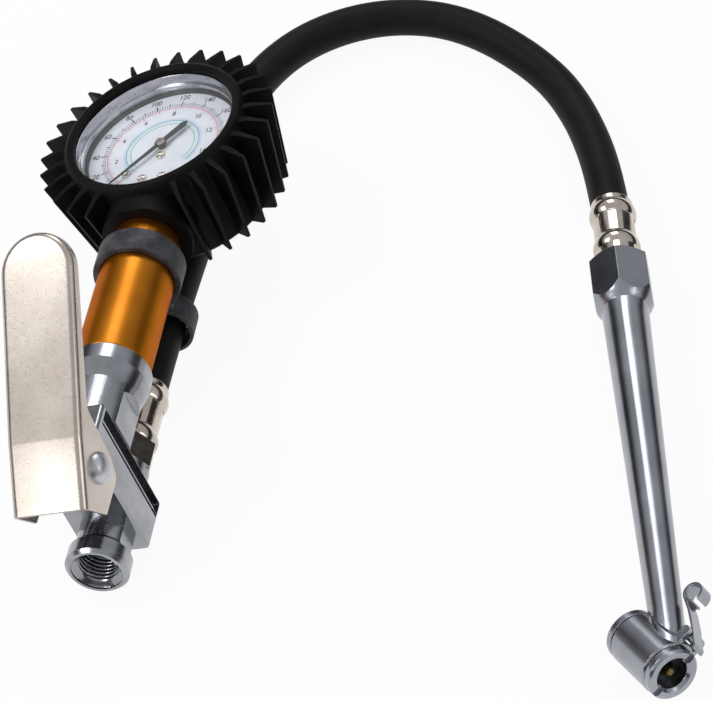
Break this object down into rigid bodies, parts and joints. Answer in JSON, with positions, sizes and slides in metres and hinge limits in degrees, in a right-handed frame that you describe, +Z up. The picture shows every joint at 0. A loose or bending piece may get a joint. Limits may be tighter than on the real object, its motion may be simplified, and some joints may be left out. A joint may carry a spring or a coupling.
{
  "type": "portable tire inflator",
  "caption": "Hand-held tyre inflator: trigger valve with a gold grip, a rubber-booted dial gauge, a short black hose and a chromed dual-foot chuck.",
  "frame": {"origin": "middle of the underside of the object without its hose, on the surface that it lies on", "axes": "+Z up from that surface, +Y from the air inlet towards the gauge, +X from the valve gun towards the chuck"},
  "size_m": [0.2303, 0.2945, 0.0877],
  "materials": {
    "satin_chrome": "satin chrome plate on a die casting",
    "satin_nickel": "satin nickel plate on pressed steel",
    "bright_nickel": "bright nickel plate",
    "gold_aluminium": "gold anodised, satin",
    "boot_rubber": "matt moulded rubber",
    "hose_rubber": "matt extruded rubber",
    "seal_rubber": "smooth rubber",
    "brass": "machined",
    "plain_steel": "plated steel",
    "dial_white": "printed white enamel",
    "pointer_black": "matt black paint",
    "clear_window": "clear moulded window"
  },
  "bodies": {
    "inflator": {"valve_body": "satin_chrome", "chuck_body": "satin_chrome", "front_ring_nut": "satin_chrome", "rear_ring_nut": "satin_chrome", "gun_ferrule": "bright_nickel", "chuck_ferrule": "bright_nickel", "gauge_bezel": "bright_nickel", "dial_surround": "bright_nickel", "gun_nipple": "bright_nickel", "grip_barrel": "gold_aluminium", "rubber_boot": "boot_rubber", "hose_strap": "boot_rubber", "hose": "hose_rubber", "stem_seal": "seal_rubber", "dial_gasket": "seal_rubber", "front_seal": "seal_rubber", "rear_seal": "seal_rubber", "gland_nut": "brass", "valve_seat": "brass", "gauge_socket": "brass", "bourdon_tube": "brass", "movement_plates": "brass", "dial_screws": "brass", "chuck_nipple": "brass", "spring_divider": "brass", "valve_spring": "plain_steel", "front_spring": "plain_steel", "rear_spring": "plain_steel", "clip_pin": "plain_steel", "gauge_case": "plain_steel", "dial_plate": "dial_white", "gauge_lens": "clear_window"},
    "lever": {"lever": "satin_nickel", "lever_rivet": "satin_nickel"},
    "plunger": {"valve_stem": "plain_steel", "poppet_seal": "seal_rubber"},
    "sector": {"sector_gear": "brass"},
    "pointer": {"pinion_arbor": "brass", "pointer": "pointer_black", "pointer_cap": "brass"},
    "front_depressor": {"front_depressor": "brass"},
    "rear_depressor": {"rear_depressor": "brass"},
    "clip": {"clip_lever": "plain_steel"}
  },
  "joints": [
    {"name": "lever_hinge", "type": "hinge", "parent": "inflator", "child": "lever", "pos_m": [-0.07564, -0.07816, 0.04244], "axis": [-0.9426, -0.0087, -0.3337], "range_deg": [0, 12], "stiffness_Nm_per_rad": 1.5, "springref_deg": -8.59},
    {"name": "plunger_slide", "type": "slide", "parent": "inflator", "child": "plunger", "axis": [0.3338, -0.0247, -0.9423], "range_m": [0, 0.00445], "deforming": ["valve_spring"]},
    {"name": "sector_hinge", "type": "hinge", "parent": "inflator", "child": "sector", "pos_m": [-0.08543, 0.05804, 0.02235], "axis": [-0.3338, 0.0247, 0.9423], "range_deg": [0, 33.75], "stiffness_Nm_per_rad": 0.02, "springref_deg": -1.15},
    {"name": "pointer_turn", "type": "hinge", "parent": "inflator", "child": "pointer", "pos_m": [-0.07464, 0.06872, 0.03576], "axis": [0.3338, -0.0247, -0.9423], "range_deg": [0, 270]},
    {"name": "front_depressor_slide", "type": "slide", "parent": "inflator", "child": "front_depressor", "axis": [-0.5541, 0.7712, -0.3134], "range_m": [0, 0.0016], "stiffness_N_per_m": 500, "springref_m": -0.001, "deforming": ["front_spring"]},
    {"name": "rear_depressor_slide", "type": "slide", "parent": "inflator", "child": "rear_depressor", "axis": [0.5541, -0.7712, 0.3134], "range_m": [0, 0.0016], "stiffness_N_per_m": 500, "springref_m": -0.001, "deforming": ["rear_spring"]},
    {"name": "clip_hinge", "type": "hinge", "parent": "inflator", "child": "clip", "pos_m": [0.11087, -0.09356, 0.01935], "axis": [0.569, 0.0761, -0.8188], "range_deg": [-6, 8], "stiffness_Nm_per_rad": 0.3}
  ],
  "couplings": [
    {"joint": "plunger_slide", "follows": "lever_hinge", "m_per_rad": 0.021152},
    {"joint": "pointer_turn", "follows": "sector_hinge", "ratio": 8}
  ]
}
